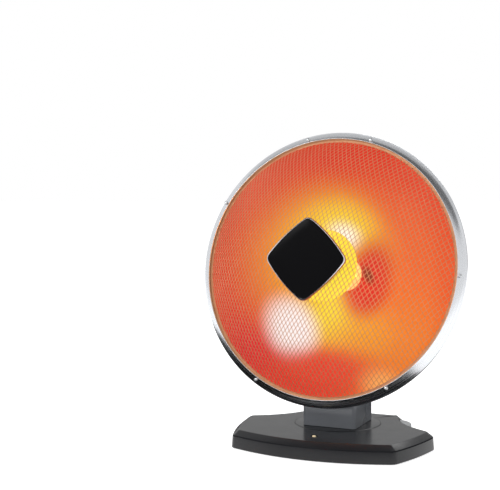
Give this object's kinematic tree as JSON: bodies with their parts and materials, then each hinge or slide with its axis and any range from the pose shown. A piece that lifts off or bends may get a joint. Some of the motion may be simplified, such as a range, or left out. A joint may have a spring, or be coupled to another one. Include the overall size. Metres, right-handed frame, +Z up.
{
  "type": "parabolic dish heater",
  "caption": "Free-standing electric dish heater: a round reflector with a glowing coil behind a domed wire net, on a swivelling, tilting neck and a low gloss base.",
  "frame": {"origin": "centre of the bottom of the overall bounding box, on the floor under the feet", "axes": "+Z up, -Y towards the front, where the dish faces, +X to the heater's right as seen from the front"},
  "size_m": [0.355, 0.2068, 0.4028],
  "materials": {
    "base_shell": "deep gloss black, moulded",
    "neck_shell": "gloss black, moulded",
    "floor_plate": "satin black paint on sheet steel",
    "feet": "matt black rubber",
    "fasteners": "zinc-plated steel",
    "ring_screws": "bright plated steel heads",
    "lamp": "clear to milky white lens",
    "light_grey_plastic": "satin light grey",
    "black_plastic": "satin black",
    "inner_steel": "grey painted steel",
    "bracket": "satin black paint",
    "housing": "satin black paint on spun sheet",
    "reflector": "mirror-polished, lit orange by the element",
    "element_ceramic": "matt white ceramic",
    "element_wire": "resistance wire, glowing orange when on",
    "grille_wire": "bright plated wire net",
    "ring_chrome": "satin chrome",
    "badge_rim": "bright silver rim",
    "badge_face": "gloss black, blank",
    "badge_back": "plain steel"
  },
  "bodies": {
    "base": {"base_top_shell": "base_shell", "base_bottom_plate": "floor_plate", "foot_front_left": "feet", "foot_front_right": "feet", "foot_rear_left": "feet", "foot_rear_right": "feet", "base_screw_1": "fasteners", "base_screw_2": "fasteners", "base_screw_3": "fasteners", "base_screw_4": "fasteners", "power_lamp_lens": "lamp", "terminal_block": "light_grey_plastic", "cord_inlet_bushing": "black_plastic", "heat_control_body": "black_plastic", "tip_switch_body": "black_plastic"},
    "heat_dial": {"heat_dial_wheel": "light_grey_plastic"},
    "tip_plunger": {"tip_plunger": "light_grey_plastic"},
    "neck": {"turntable_disc": "neck_shell", "turntable_retaining_ring": "inner_steel", "neck_front_cover": "neck_shell", "neck_rear_cover": "neck_shell", "neck_cover_screw_left": "fasteners", "neck_cover_screw_right": "fasteners", "neck_frame": "inner_steel", "frame_screw_1": "fasteners", "frame_screw_2": "fasteners", "tilt_bolt": "fasteners", "tilt_nut": "fasteners", "friction_washer_left": "black_plastic", "friction_washer_right": "black_plastic"},
    "dish": {"tilt_bracket": "bracket", "bracket_screw_1": "fasteners", "bracket_screw_2": "fasteners", "pivot_sleeve": "inner_steel", "rear_housing": "housing", "rear_hub_cap": "black_plastic", "reflector": "reflector", "element_base": "element_ceramic", "element_core": "element_ceramic", "heating_coil": "element_wire", "element_front_cap": "element_ceramic", "guard_disc": "reflector", "guard_nut": "fasteners", "hub_cap_nut": "fasteners", "centre_rod": "fasteners", "thermal_cutoff": "black_plastic", "mesh_grille": "grille_wire", "grille_ring": "ring_chrome", "ring_screw_1": "ring_screws", "ring_screw_2": "ring_screws", "ring_screw_3": "ring_screws", "ring_screw_4": "ring_screws", "ring_screw_5": "ring_screws", "ring_screw_6": "ring_screws", "badge_bezel": "badge_rim", "badge_plate": "badge_face", "badge_clamp": "badge_back", "badge_screw": "fasteners"}
  },
  "joints": [
    {"name": "neck_swivel", "type": "hinge", "parent": "base", "child": "neck", "pos_m": [0, 0.02115, 0.0244], "axis": [0, 0, 1], "range_deg": [-45, 45]},
    {"name": "dish_tilt", "type": "hinge", "parent": "neck", "child": "dish", "pos_m": [0, 0.02915, 0.086], "axis": [1, 0, 0], "range_deg": [-13, 12]},
    {"name": "heat_dial_turn", "type": "hinge", "parent": "base", "child": "heat_dial", "pos_m": [0.06292, 0.06093, 0.01225], "axis": [0, 0, 1], "range_deg": [0, 180]},
    {"name": "tip_plunger_drop", "type": "slide", "parent": "base", "child": "tip_plunger", "axis": [0, 0, -1], "range_m": [0, 0.004], "stiffness_N_per_m": 50, "springref_m": 0.006}
  ]
}
